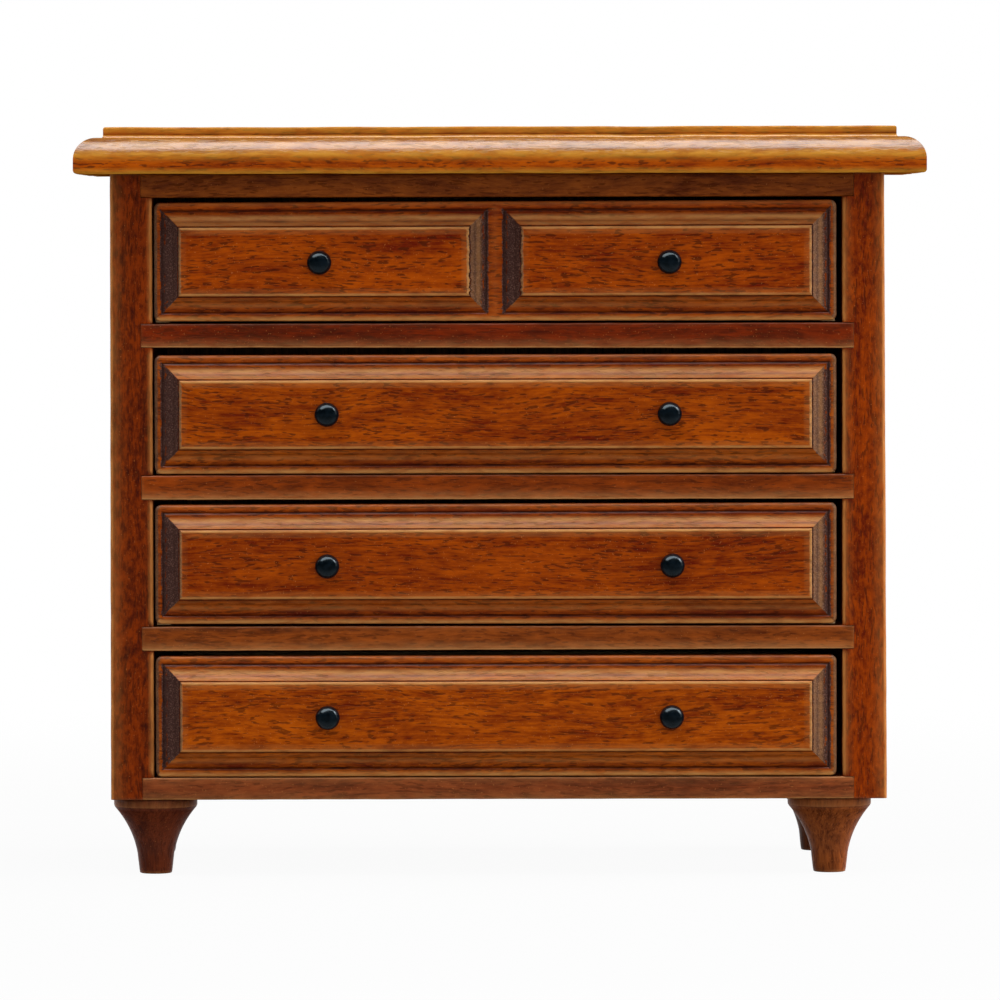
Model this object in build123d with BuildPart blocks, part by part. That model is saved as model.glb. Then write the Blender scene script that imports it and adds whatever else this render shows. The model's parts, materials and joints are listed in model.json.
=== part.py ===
from build123d import *
import math
import os

# Miniature chest of drawers in dolls' house scale, as a set of separate wooden pieces.
#
# Millimetres. +Z is up, +X is to the right of someone facing the chest, and the front faces -Y.
# The origin is on the floor, midway between the side panels, and midway between the front and
# back edges of the top board.

# ---------------------------------------------------------------- driving dimensions, in mm

# Case
case_width = 87.7
case_depth = 40.0
case_height = 71.0
side_thickness = 4.76
divider_thickness = 2.88
bottom_thickness = 2.5
back_thickness = 2.0
back_rebate = 2.4            # how far the back panel is let into each side panel
top_rail_height = 2.65
top_rail_depth = 7.0
housing_depth = 1.3          # how far the ends of the boards run into the side panels
housing_slack = 0.15         # how much deeper than that each housing is cut
case_edge_radius = 0.4       # rounding of the outside edges of the side panels
board_edge_radius = 0.2      # rounding of the front edges of the boards

# Top board
top_thickness = 5.3
top_overhang_front = 4.0
top_overhang_left = 3.95
top_overhang_right = 4.6
ovolo_width = 2.95
ovolo_height = 2.55
ovolo_bulge = 0.88           # how far the ovolo stands out from the straight line across it
top_cove = 0.3               # the small hollow between the ovolo and the band above it
top_band_height = 0.95       # the flat band that carries the top surface
top_edge_radius = 0.3        # rounding under the moulded edges

# Feet
foot_height = 8.7
foot_ring_radius = 4.76
foot_ring_height = 1.05
foot_neck_radius = 2.1
foot_neck_height = 2.3       # height above the floor where the flare meets the neck
foot_flare_hollow = 0.4
foot_tip_radius = 1.85
foot_inset_front = 5.1
foot_inset_back = 5.1
# How far each foot's axis stands inside the outside of the side panel over it
foot_insets = {
    "front_left": 4.7,
    "front_right": 6.05,
    "rear_left": 3.8,
    "rear_right": 6.25,
}
spigot_radius = 1.0
spigot_length = 1.8
spigot_clearance = 0.02
spigot_hole_spare = 0.1      # how much deeper than the spigot its hole is

# Drawers: the gaps around each front, and behind each box
gap_left = 0.2
gap_right = 0.65
gap_above = 0.65
gap_below = 0.15
gap_behind = 0.6

# Drawer fronts
slab_thickness = 2.0         # from the back of the front to its lip
corner_radius = 0.7
lip_chamfer = 0.3            # softening of the lip's outside edge
lip_width = 0.95
cove_width = 1.85
cove_height = 0.95
cove_hollow = 0.17
field_step = 0.25            # the upright step between the cove and the raised field
bar_width = 2.05             # the bar that makes the top front look like two

# Drawer boxes
box_inset = 0.15             # how far each end of the box stands inside the front's end
box_drop = 1.4               # how far the box stays below the top of the front
box_side_thickness = 1.6
box_back_thickness = 1.6
box_bottom_thickness = 1.0
box_bottom_rise = 0.8        # from the underside of the drawer to its bottom panel
groove_depth = 0.6
lap_depth = 1.0              # how far the sides run into the rebates of the front

# Knobs: a domed head with a tapered underside, and the pin behind it
knob_radius = 1.38
knob_dome_height = 1.15
knob_neck_radius = 0.8       # where the head's tapered underside meets the front
knob_neck_length = 0.5
knob_pin_radius = 0.45
knob_pin_length = 2.5
knob_pin_clearance = 0.02
knob_hole_spare = 0.1
# Each drawer, from the top down, and its two knobs' places left and right of its middle
knob_places = {
    "top": (19.9, 19.7),
    "second": (19.1, 19.7),
    "third": (19.1, 20.0),
    "bottom": (19.1, 19.9),
}

# ---------------------------------------------------------------- places worked out from them

case_bottom = foot_height
case_top = case_bottom + case_height
case_left = -case_width / 2
case_right = case_width / 2
inner_left = case_left + side_thickness
inner_right = case_right - side_thickness
back_y = (case_depth + top_overhang_front) / 2
front_y = back_y - case_depth
inner_back_y = back_y - back_thickness

drawer_names = list(knob_places)
divider_names = ["upper", "middle", "lower"]
opening_total = case_height - top_rail_height - bottom_thickness
opening_height = (opening_total - len(divider_names) * divider_thickness) / len(drawer_names)
opening_pitch = opening_height + divider_thickness
opening_floors = [
    case_top - top_rail_height - opening_height - i * opening_pitch for i in range(len(drawer_names))
]
divider_floors = [floor - divider_thickness for floor in opening_floors[:-1]]

top_left = case_left - top_overhang_left
top_right = case_right + top_overhang_right
top_front = front_y - top_overhang_front

drawer_left = inner_left + gap_left
drawer_right = inner_right - gap_right
drawer_width = drawer_right - drawer_left
drawer_middle = (drawer_left + drawer_right) / 2
drawer_height = opening_height - gap_below - gap_above
drawer_rear_y = inner_back_y - gap_behind
slab_back_y = front_y + slab_thickness
relief = cove_height + field_step
field_y = front_y - relief
box_left = drawer_left + box_inset
box_right = drawer_right - box_inset
box_height = drawer_height - box_drop
box_inner_left = box_left + box_side_thickness
box_inner_right = box_right - box_side_thickness
box_floor = box_bottom_rise + box_bottom_thickness


def save(piece, name):
    """Label a finished piece and write it to a STEP file of its own."""
    piece.part.label = name
    export_step(piece.part, f"parts/{name}.step")


def rectangle(x_span, y_span):
    """Draw a rectangle that fills two stretches, each (low, high), of the current sketch."""
    (x_low, x_high), (y_low, y_high) = x_span, y_span
    with Locations(((x_low + x_high) / 2, (y_low + y_high) / 2)):
        Rectangle(x_high - x_low, y_high - y_low)


# ---------------------------------------------------------------- case


def moulding_waste():
    """What the cutter takes off the top board's edge.

    The board's upper outside corner is at (0, 0), with the board on the -x side and below.
    """
    band_x = -ovolo_width - top_cove
    band_foot = -top_band_height
    ovolo_foot = band_foot - top_cove - ovolo_height
    with BuildSketch() as waste:
        with BuildLine():
            Line((band_x, top_cove), (band_x, band_foot))
            CenterArc((-ovolo_width, band_foot), top_cove, 180, 90)
            SagittaArc((-ovolo_width, ovolo_foot + ovolo_height), (0, ovolo_foot), ovolo_bulge)
            Polyline((0, ovolo_foot), (top_cove, ovolo_foot), (top_cove, top_cove), (band_x, top_cove))
        make_face()
    return waste.sketch


def build_top_board():
    """A board with a moulded front edge and moulded ends, mitred at the corners."""
    top = case_top + top_thickness
    top_width = top_right - top_left
    top_depth = back_y - top_front
    edges = [
        (Plane((top_right, back_y, top), x_dir=(1, 0, 0), z_dir=(0, -1, 0)), top_depth),
        (Plane((top_left, top_front, top), x_dir=(-1, 0, 0), z_dir=(0, 1, 0)), top_depth),
        (Plane((top_right, top_front, top), x_dir=(0, -1, 0), z_dir=(-1, 0, 0)), top_width),
    ]
    with BuildPart() as board:
        with BuildSketch(Plane.XY.offset(case_top)):
            rectangle((top_left, top_right), (top_front, back_y))
        extrude(amount=top_thickness)
        underside = board.faces().sort_by(Axis.Z)[0]
        fillet(underside.edges().sort_by(Axis.Y)[:-1], radius=top_edge_radius)
        for edge, length in edges:
            with BuildSketch(edge):
                add(moulding_waste())
            extrude(amount=length, mode=Mode.SUBTRACT)
    save(board, "top_board")


def cut_sockets(places):
    """Drill the holes for the feet's spigots, each at its place on the case's underside."""
    for x, y in places:
        with Locations(Plane((x, y, case_bottom), z_dir=(0, 0, -1))):
            Hole(spigot_radius + spigot_clearance, depth=spigot_length + spigot_hole_spare)


def build_side_panel(name, side, sockets=()):
    """One end of the case, with its housings: side is -1 for the left and 1 for the right."""
    inner_x = inner_left if side < 0 else inner_right
    housings = [
        ((front_y, inner_back_y), (case_bottom, case_bottom + bottom_thickness)),
        ((front_y, front_y + top_rail_depth), (case_top - top_rail_height, case_top)),
    ]
    for floor in divider_floors:
        housings.append(((front_y, inner_back_y), (floor, floor + divider_thickness)))
    with BuildPart() as panel:
        with BuildSketch(Plane.YZ.offset(inner_x)):
            rectangle((front_y, back_y), (case_bottom, case_top))
        extrude(amount=side * side_thickness)
        outside = panel.faces().sort_by(Axis.X)[0 if side < 0 else -1]
        fillet(outside.edges().sort_by(Axis.Z)[:-1], radius=case_edge_radius)
        with BuildSketch(Plane.YZ.offset(inner_x)):
            for y_span, z_span in housings:
                rectangle(y_span, z_span)
        extrude(amount=side * (housing_depth + housing_slack), mode=Mode.SUBTRACT)
        with BuildSketch(Plane.YZ.offset(inner_x)):
            rectangle((inner_back_y, back_y), (case_bottom, case_top))
        extrude(amount=side * back_rebate, mode=Mode.SUBTRACT)
        cut_sockets(sockets)
    save(panel, name)


def build_back_panel():
    """A thin board that closes the back of the case, in the rebates of the side panels."""
    with BuildPart() as panel:
        with BuildSketch(Plane.XY.offset(case_bottom)):
            rectangle((inner_left - back_rebate, inner_right + back_rebate), (inner_back_y, back_y))
        extrude(amount=case_height)
    save(panel, "back_panel")


def build_board(name, floor, thickness, rear_y, sockets=()):
    """A board between the side panels, with its ends in their housings and a softened front."""
    with BuildPart() as board:
        with BuildSketch(Plane.XY.offset(floor)):
            rectangle((inner_left - housing_depth, inner_right + housing_depth), (front_y, rear_y))
        extrude(amount=thickness)
        front_face = board.faces().sort_by(Axis.Y)[0]
        fillet(front_face.edges().filter_by(Axis.X), radius=board_edge_radius)
        cut_sockets(sockets)
    save(board, name)


def build_foot(name, x, y):
    """A turned foot: a ring, a hollow flare, a tapering neck, and a spigot on top."""
    ring_foot = (foot_ring_radius, foot_height - foot_ring_height)
    neck = (foot_neck_radius, foot_neck_height)
    with BuildPart() as foot:
        with BuildSketch(Plane((x, y, 0), x_dir=(1, 0, 0), z_dir=(0, -1, 0))):
            with BuildLine():
                Polyline((0, foot_height), (foot_ring_radius, foot_height), ring_foot)
                SagittaArc(ring_foot, neck, -foot_flare_hollow)
                Polyline(neck, (foot_tip_radius, 0), (0, 0), (0, foot_height))
            make_face()
        revolve(axis=Axis((x, y, 0), (0, 0, 1)))
        with BuildSketch(Plane.XY.offset(foot_height)):
            with Locations((x, y)):
                Circle(spigot_radius)
        extrude(amount=spigot_length)
    save(foot, name)


# ---------------------------------------------------------------- drawers


def relief_waste(flat):
    """What the cutter takes off beside a raised field.

    It leaves a flat from x = 0 to x = flat at y = 0, and a hollow that rises to the field.
    """
    cove_top = (flat + cove_width, cove_height)
    with BuildSketch() as waste:
        with BuildLine():
            Line((0, 0), (flat, 0))
            SagittaArc((flat, 0), cove_top, -cove_hollow)
            Polyline(cove_top, (flat + cove_width, 2 * relief), (0, 2 * relief), (0, 0))
        make_face()
    return waste.sketch


def bar_waste():
    """What the cutter takes off over and beside a bar that is centred on x = 0."""
    with BuildSketch() as waste:
        add(relief_waste(bar_width / 2))
        mirror(about=Plane.YZ)
    return waste.sketch


def build_front(name, floor, knob_xs, has_bar):
    """A drawer front with one raised field, or with two and a bar between them."""
    top = floor + drawer_height
    left, right = (drawer_left, front_y), (drawer_right, front_y)
    cuts = [
        (Plane((*left, floor), x_dir=(0, 0, 1), z_dir=(1, 0, 0)), relief_waste(lip_width), drawer_width),
        (Plane((*right, top), x_dir=(0, 0, -1), z_dir=(-1, 0, 0)), relief_waste(lip_width), drawer_width),
        (Plane((*left, top), x_dir=(1, 0, 0), z_dir=(0, 0, -1)), relief_waste(lip_width), drawer_height),
        (Plane((*right, floor), x_dir=(-1, 0, 0), z_dir=(0, 0, 1)), relief_waste(lip_width), drawer_height),
    ]
    if has_bar:
        bar_plane = Plane((drawer_middle, front_y, top), x_dir=(1, 0, 0), z_dir=(0, 0, -1))
        cuts.append((bar_plane, bar_waste(), drawer_height))
    with BuildPart() as front:
        with BuildSketch(Plane.XZ.offset(-slab_back_y)):
            with Locations((drawer_middle, floor + drawer_height / 2)):
                RectangleRounded(drawer_width, drawer_height, corner_radius)
        extrude(amount=slab_thickness + relief)
        for plane, waste, length in cuts:
            with BuildSketch(plane):
                add(waste)
            extrude(amount=length, mode=Mode.SUBTRACT)
        lip = front.faces().filter_by(Axis.Y).group_by(Axis.Y)[1].face()
        chamfer(lip.outer_wire().edges(), length=lip_chamfer)
        with BuildSketch(Plane.XY.offset(floor)):
            for x_span in ((drawer_left, box_inner_left), (box_inner_right, drawer_right)):
                rectangle(x_span, (slab_back_y - lap_depth, slab_back_y))
        extrude(amount=box_height, mode=Mode.SUBTRACT)
        with BuildSketch(Plane.XY.offset(floor + box_bottom_rise)):
            rectangle((box_inner_left, box_inner_right), (slab_back_y - groove_depth, slab_back_y))
        extrude(amount=box_bottom_thickness, mode=Mode.SUBTRACT)
        for x in knob_xs:
            with Locations(Plane((x, field_y, floor + drawer_height / 2), z_dir=(0, -1, 0))):
                Hole(knob_pin_radius + knob_pin_clearance, depth=knob_pin_length + knob_hole_spare)
    save(front, name)


def build_box_side(name, floor, side):
    """One side of a drawer's box, lapped into the front and grooved for the bottom."""
    inner_x = box_inner_left if side < 0 else box_inner_right
    y_span = (slab_back_y - lap_depth, drawer_rear_y)
    groove_floor = floor + box_bottom_rise
    with BuildPart() as panel:
        with BuildSketch(Plane.YZ.offset(inner_x)):
            rectangle(y_span, (floor, floor + box_height))
        extrude(amount=side * box_side_thickness)
        with BuildSketch(Plane.YZ.offset(inner_x)):
            rectangle(y_span, (groove_floor, groove_floor + box_bottom_thickness))
        extrude(amount=side * groove_depth, mode=Mode.SUBTRACT)
    save(panel, name)


def build_box_back(name, floor):
    """The back of a drawer's box, between its sides and on top of its bottom."""
    with BuildPart() as panel:
        with BuildSketch(Plane.XY.offset(floor + box_floor)):
            rectangle((box_inner_left, box_inner_right), (drawer_rear_y - box_back_thickness, drawer_rear_y))
        extrude(amount=box_height - box_floor)
    save(panel, name)


def build_box_bottom(name, floor):
    """A thin bottom, held in the grooves of the sides and the front."""
    with BuildPart() as panel:
        with BuildSketch(Plane.XY.offset(floor + box_bottom_rise)):
            rectangle(
                (box_inner_left - groove_depth, box_inner_right + groove_depth),
                (slab_back_y - groove_depth, drawer_rear_y),
            )
        extrude(amount=box_bottom_thickness)
    save(panel, name)


def build_knob(name, x, z):
    """A domed head that narrows to its neck, with a pin that goes into the drawer front."""
    apex = knob_neck_length + knob_dome_height
    dome_radius = (knob_radius**2 + knob_dome_height**2) / (2 * knob_dome_height)
    rim_angle = math.degrees(math.asin(1 - knob_dome_height / dome_radius))
    with BuildPart() as knob:
        with BuildSketch(Plane((x, field_y, z), x_dir=(1, 0, 0), z_dir=(0, 0, -1))):
            with BuildLine():
                Polyline(
                    (0, apex),
                    (0, -knob_pin_length),
                    (knob_pin_radius, -knob_pin_length),
                    (knob_pin_radius, 0),
                    (knob_neck_radius, 0),
                    (knob_radius, knob_neck_length),
                )
                CenterArc((0, apex - dome_radius), dome_radius, rim_angle, 90 - rim_angle)
            make_face()
        revolve(axis=Axis((x, field_y, z), (0, -1, 0)))
    save(knob, name)


def build_drawer(name, opening_floor, knob_offsets, has_bar):
    """All the pieces of one drawer, shut, in the opening with this floor."""
    floor = opening_floor + gap_below
    knob_left, knob_right = drawer_middle - knob_offsets[0], drawer_middle + knob_offsets[1]
    build_front(f"{name}_drawer_front", floor, (knob_left, knob_right), has_bar)
    build_box_side(f"{name}_drawer_side_left", floor, -1)
    build_box_side(f"{name}_drawer_side_right", floor, 1)
    build_box_back(f"{name}_drawer_back", floor)
    build_box_bottom(f"{name}_drawer_bottom", floor)
    build_knob(f"{name}_drawer_knob_left", knob_left, floor + drawer_height / 2)
    build_knob(f"{name}_drawer_knob_right", knob_right, floor + drawer_height / 2)


# ---------------------------------------------------------------- build

os.makedirs("parts", exist_ok=True)

front_feet_y = front_y + foot_inset_front
rear_feet_y = back_y - foot_inset_back
foot_places = {
    "front_left": (case_left + foot_insets["front_left"], front_feet_y),
    "front_right": (case_right - foot_insets["front_right"], front_feet_y),
    "rear_left": (case_left + foot_insets["rear_left"], rear_feet_y),
    "rear_right": (case_right - foot_insets["rear_right"], rear_feet_y),
}

build_top_board()
build_side_panel("side_panel_left", -1, [foot_places["rear_left"]])
build_side_panel("side_panel_right", 1)
build_back_panel()
build_board("top_rail", case_top - top_rail_height, top_rail_height, front_y + top_rail_depth)
for divider, divider_floor in zip(divider_names, divider_floors):
    build_board(f"{divider}_divider", divider_floor, divider_thickness, inner_back_y)
build_board("bottom_board", case_bottom, bottom_thickness, inner_back_y, foot_places.values())
for corner, (foot_x, foot_y) in foot_places.items():
    build_foot(f"foot_{corner}", foot_x, foot_y)
for drawer, opening_floor in zip(drawer_names, opening_floors):
    build_drawer(drawer, opening_floor, knob_places[drawer], drawer == "top")
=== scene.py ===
"""Looks for the miniature chest of drawers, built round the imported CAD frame.

Shapes are worked out in millimetres, in the frame's own axes: +X is to the right of someone
facing the chest, the front faces -Y, and +Z is up. They become metres when a mesh is made.
"""
import json
import math

import bmesh
import bpy
import numpy as np
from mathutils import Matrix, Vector, noise


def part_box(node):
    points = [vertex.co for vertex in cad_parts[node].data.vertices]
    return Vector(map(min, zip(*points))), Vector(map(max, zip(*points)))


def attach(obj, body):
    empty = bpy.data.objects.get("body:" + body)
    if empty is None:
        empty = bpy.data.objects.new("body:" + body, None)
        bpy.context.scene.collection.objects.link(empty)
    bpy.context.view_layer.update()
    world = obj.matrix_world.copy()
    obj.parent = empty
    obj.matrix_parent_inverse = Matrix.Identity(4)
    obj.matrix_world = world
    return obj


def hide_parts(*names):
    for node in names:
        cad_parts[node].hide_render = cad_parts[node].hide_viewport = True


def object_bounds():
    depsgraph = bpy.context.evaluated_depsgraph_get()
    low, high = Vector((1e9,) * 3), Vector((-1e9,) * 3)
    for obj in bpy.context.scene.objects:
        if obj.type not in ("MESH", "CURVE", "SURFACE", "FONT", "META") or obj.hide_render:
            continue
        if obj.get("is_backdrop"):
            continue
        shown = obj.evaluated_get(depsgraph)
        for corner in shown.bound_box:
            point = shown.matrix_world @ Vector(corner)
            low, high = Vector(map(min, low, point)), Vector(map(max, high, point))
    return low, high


MM = 0.001
WELD_GAP = 0.0005
WAVER_SEED = 1

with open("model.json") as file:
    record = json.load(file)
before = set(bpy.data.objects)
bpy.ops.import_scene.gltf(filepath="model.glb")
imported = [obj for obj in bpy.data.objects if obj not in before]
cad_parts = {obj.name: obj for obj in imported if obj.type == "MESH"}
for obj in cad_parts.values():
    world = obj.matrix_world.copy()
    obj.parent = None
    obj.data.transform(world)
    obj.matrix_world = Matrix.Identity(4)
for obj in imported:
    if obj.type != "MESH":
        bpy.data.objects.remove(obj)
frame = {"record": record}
cad_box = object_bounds()
noise.seed_set(WAVER_SEED)  # Blender seeds noise_vector from the clock, so each run would differ


def box_mm(node):
    """The lowest and highest corner of a CAD node, in mm."""
    low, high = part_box(node)
    return np.array(low) / MM, np.array(high) / MM


def body_of(node):
    """The moving body that a CAD node belongs to."""
    bodies = frame["record"]["behaviour"]["bodies"]
    return next(body for body, nodes in bodies.items() if node in nodes)


# ---------------------------------------------------------------- sizes, in mm

# Drawer fronts: heights are measured outwards from the lip, insets inwards from the outside edge
SLAB = 2.0
LIP_WIDTH = 0.95
COVE_WIDTH = 1.85
COVE_HEIGHT = 0.95
COVE_HOLLOW = 0.2
FIELD_HEIGHT = 1.2
LIP_ROUNDING = 0.36
LIP_CORNER = 0.7
BAR_WIDTH = 2.05
FRONT_ZONE = 1.2       # how far in from its corners a side has fine steps
FRONT_FINE = 0.14
FRONT_COARSE_ALONG = 0.5
FRONT_COARSE_UP = 0.24

# Boards: the rounding of their ends, the band beside it, and how loosely a slot holds a board
END_ROUNDING = 0.06
END_BAND = 0.3
ROUND_WEAR = (0.4, 1.25, 1.25, 0.4)  # how a rounded corner's wear is spread over its four points
LEAN_BAND = 0.5        # how near a board's left or right face its lean is taken
SLOT_SLACK = 0.02
SPARE = 1.0            # how far a cut runs out past the wood it is made in

# Drawer boxes
BOX_DROP = 1.4
BOX_WALL = 1.6
BOX_INSET = 0.15
BOX_STEP = 1.5
LAP = 1.0
GROOVE_RISE = 0.8
GROOVE_HEIGHT = 1.0
GROOVE_DEPTH = 0.6

# Top board
OVOLO_WIDTH = 2.95
OVOLO_FOOT = 1.5
OVOLO_TOP = 4.05
OVOLO_BULGE = 0.95
COVE_RADIUS = 0.3
TOP_EDGE_ROUNDING = 0.4
TOP_EDGE_BULGE = 0.117  # a quarter round's, for that rounding
GOLD_RISE = 2.3        # the height of the ovolo's rubbed, golden stripe

# Feet and knobs
FOOT_NECK_HEIGHT = 2.3
FOOT_NECK_RADIUS = 2.1
FOOT_TIP_RADIUS = 1.85
FOOT_RING_HEIGHT = 1.05
FOOT_HOLLOW = 0.4
KNOB_RADIUS = 1.38
KNOB_NECK_LENGTH = 0.5
KNOB_NECK_RADIUS = 0.8
FOOT_STEPS = 96
KNOB_STEPS = 64

# How worn and how dark each side of a drawer front is, from the bottom counterclockwise. On the coves
# and the field's edges the wear is partly painted highlight, strongest on the top and right sides.
LIP_WEAR = (1.0, 0.38, 0.25, 0.25)
COVE_WEAR_AND_HIGHLIGHT = (0.30, 0.33, 0.80, 0.0)
FIELD_WEAR_AND_HIGHLIGHT = (0.8, 0.9, 1.1, 0.45)
# Painted shade: the coves on the left side are darkened, as the light comes from the right
COVE_SHADE = (0.0, 0.0, 0.0, 0.4)
# Extra darkening of the lip's right and left sides, more on the left
LIP_SIDE_DARKENING = (0.0, 0.2, 0.0, 0.4)

# How far hand-cut edges lie above their places in the frame: at the left and right end of each
# front's lower edge and of its upper edge, and at the left and right end of a divider's underside
FRONT_STRAY = {
    "top": (0.13, 0.10, 0.05, 0.24),
    "second": (0.0, 0.0, -0.05, 0.0),
    "third": (0.16, 0.07, 0.18, 0.31),
    "bottom": (-0.05, -0.03, 0.17, 0.17),
}
DIVIDER_STRAY = {"upper_divider": (0.2, 0.0), "middle_divider": (0.12, 0.10), "lower_divider": (0.13, 0.26)}

# For each side panel: how worn its four long corners are, how far that wear spreads, and how far
# its left and its right face come outwards at the foot
SIDE_PANELS = {
    "left": ((1.05, 0.2, 0.4, 0.9), (0.1, 0.4, 0.4, 0.5), (0.16, 0.0)),
    "right": ((0.9, 0.4, 0.2, 1.1), (0.4, 0.4, 0.4, 0.25), (0.0, 0.3)),
}


# ---------------------------------------------------------------- meshes

def bell(place, middle, width):
    """A smooth hump: 1 in the middle, and near 0 two widths away."""
    return math.exp(-((place - middle) / width) ** 2)


def clamp(value):
    """The value, held between 0 and 1."""
    return min(1.0, max(0.0, value))


def add_object(name, mesh):
    """Turn a finished bmesh into an object of the scene, and free it."""
    data = bpy.data.meshes.new(name)
    mesh.to_mesh(data)
    mesh.free()
    made = bpy.data.objects.new(name, data)
    bpy.context.scene.collection.objects.link(made)
    return made


class Shape:
    """A growing mesh in mm. Each vertex has two finish values, wear and darkening.

    They are 0 for none and 1 for full. Above 1, wear only makes the bare patches larger. In places the wear
    stands for a painted highlight and the darkening for painted shade.
    """

    def __init__(self):
        self.mesh = bmesh.new()
        self.wear_and_highlight = self.mesh.verts.layers.float.new("wear_and_highlight")
        self.grime_and_shade = self.mesh.verts.layers.float.new("grime_and_shade")

    def ring(self, points, wear_and_highlight=0.0, grime_and_shade=0.0):
        """Add a row of points. The two finish values are each one value or one for each point."""
        count = len(points)
        wear_and_highlight = np.broadcast_to(wear_and_highlight, count)
        grime_and_shade = np.broadcast_to(grime_and_shade, count)
        row = []
        for point, w, g in zip(points, wear_and_highlight, grime_and_shade):
            vertex = self.mesh.verts.new(point)
            vertex[self.wear_and_highlight] = w
            vertex[self.grime_and_shade] = g
            row.append(vertex)
        return row

    def skin(self, rings):
        """Join closed rings of equally many points, one after the other."""
        for low, high in zip(rings, rings[1:]):
            for i in range(len(low)):
                j = (i + 1) % len(low)
                self.mesh.faces.new((low[i], low[j], high[j], high[i]))

    def cap(self, ring, flip=False):
        """Close a flat ring with one face."""
        self.mesh.faces.new(list(reversed(ring)) if flip else ring)

    def fill(self, ring, along, up):
        """Fill a four-sided ring, with this many steps along and up its sides, by a grid."""
        points = [np.array(v.co) for v in ring]
        bottom = list(range(0, along + 1))
        right = list(range(along, along + up + 1))
        top = list(range(2 * along + up, along + up - 1, -1))
        left = [0] + list(range(2 * (along + up) - 1, 2 * along + up - 1, -1))
        grid = [[None] * (along + 1) for _ in range(up + 1)]
        for i in range(along + 1):
            grid[0][i] = ring[bottom[i]]
            grid[up][i] = ring[top[i]]
        for j in range(up + 1):
            grid[j][0] = ring[left[j]]
            grid[j][along] = ring[right[j]]
        for j in range(1, up):
            low, high = points[left[j]], points[right[j]]
            for i in range(1, along):
                share = (points[bottom[i]] - points[0])[0] / (points[along] - points[0])[0]
                vertex = self.mesh.verts.new(low + (high - low) * share)
                grid[j][i] = vertex
        for j in range(up):
            for i in range(along):
                corners = (grid[j][i], grid[j][i + 1], grid[j + 1][i + 1], grid[j + 1][i])
                self.mesh.faces.new(corners)

    def waver(self, size, amount, seed, directions=(1, 1, 1)):
        """Push the vertices about by smooth noise, with waves of this size."""
        for vertex in self.mesh.verts:
            shift = noise.noise_vector(vertex.co / size + Vector((seed, seed * 1.7, seed * 2.3)))
            for i in range(3):
                vertex.co[i] += shift[i] * amount * directions[i]

    def weld(self):
        """Join the vertices that lie in one place."""
        bmesh.ops.remove_doubles(self.mesh, verts=self.mesh.verts, dist=WELD_GAP)

    def piece(self, node, material, slot, cuts=(), sharp=40):
        """Make the mesh an object that rides on the body of a CAD node and stands for that node.

        cuts are groups of boxes to take off it. Within a group the boxes don't touch.
        """
        self.weld()
        bmesh.ops.dissolve_degenerate(self.mesh, edges=self.mesh.edges, dist=WELD_GAP)
        bmesh.ops.recalc_face_normals(self.mesh, faces=self.mesh.faces)
        bmesh.ops.scale(self.mesh, vec=(MM, MM, MM), verts=self.mesh.verts)
        made = add_object(f"{node}_finished", self.mesh)
        for group in cuts:
            carve(made, group)
        made.data.materials.clear()
        made.data.materials.append(material)
        made.data.shade_smooth()
        made.data.set_sharp_from_angle(angle=math.radians(sharp))
        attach(made, body_of(node))
        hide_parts(node)


def carve(target, cuts):
    """Take boxes, each (lowest corner, highest corner) in mm, off a closed mesh."""
    cutter = bmesh.new()
    for low, high in cuts:
        corners = [cutter.verts.new([(low, high)[bit][axis] * MM for axis, bit in enumerate(bits)])
                   for bits in np.ndindex(2, 2, 2)]
        for quad in ((0, 1, 3, 2), (4, 6, 7, 5), (0, 4, 5, 1), (2, 3, 7, 6), (0, 2, 6, 4), (1, 5, 7, 3)):
            cutter.faces.new([corners[i] for i in quad])
    bmesh.ops.recalc_face_normals(cutter, faces=cutter.faces)
    tool = add_object("cutter", cutter)
    change = target.modifiers.new("carve", "BOOLEAN")
    change.operation = "DIFFERENCE"
    change.solver = "EXACT"
    change.object = tool
    seen = target.evaluated_get(bpy.context.evaluated_depsgraph_get())
    carved = bpy.data.meshes.new_from_object(seen)
    target.modifiers.clear()
    target.data = carved
    bpy.data.objects.remove(tool)


def fractions(length, fine, coarse, zone):
    """Places from 0 to 1 along a side, fine steps within a zone at each end and coarse between."""
    ends = list(np.arange(0, zone, fine))
    middle = length - 2 * zone
    count = max(1, round(middle / coarse))
    inner = [zone + middle * i / count for i in range(count + 1)]
    places = ends + inner + [length - e for e in reversed(ends)]
    return [p / length for p in places]


def four_sided(x_span, z_span, along, up, radii):
    """Points round a rectangle, from its lower left corner and counterclockwise.

    along and up are the places along its sides, and radii round its corners in the same order.
    """
    corners = [(x_span[0], z_span[0]), (x_span[1], z_span[0]), (x_span[1], z_span[1]), (x_span[0], z_span[1])]
    corners = [np.array(c, float) for c in corners]
    points = []
    for side in range(4):
        start, end = corners[side], corners[(side + 1) % 4]
        length = np.linalg.norm(end - start)
        ahead = (end - start) / length
        inwards = np.array((-ahead[1], ahead[0]))
        places = (along, up)[side % 2]
        if side >= 2:
            places = [1 - p for p in reversed(places)]
        for place in places[:-1]:
            gone, left = place * length, (1 - place) * length
            point = start + ahead * gone
            for corner, radius, way, rest in ((start, radii[side], ahead, gone),
                                              (end, radii[(side + 1) % 4], -ahead, left)):
                if radius > 0 and rest < radius:
                    angle = math.radians(45 + 45 * rest / radius)
                    centre = corner + way * radius + inwards * radius
                    point = centre - radius * (math.cos(angle) * way + math.sin(angle) * inwards)
            points.append(point)
    return np.array(points)


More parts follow.
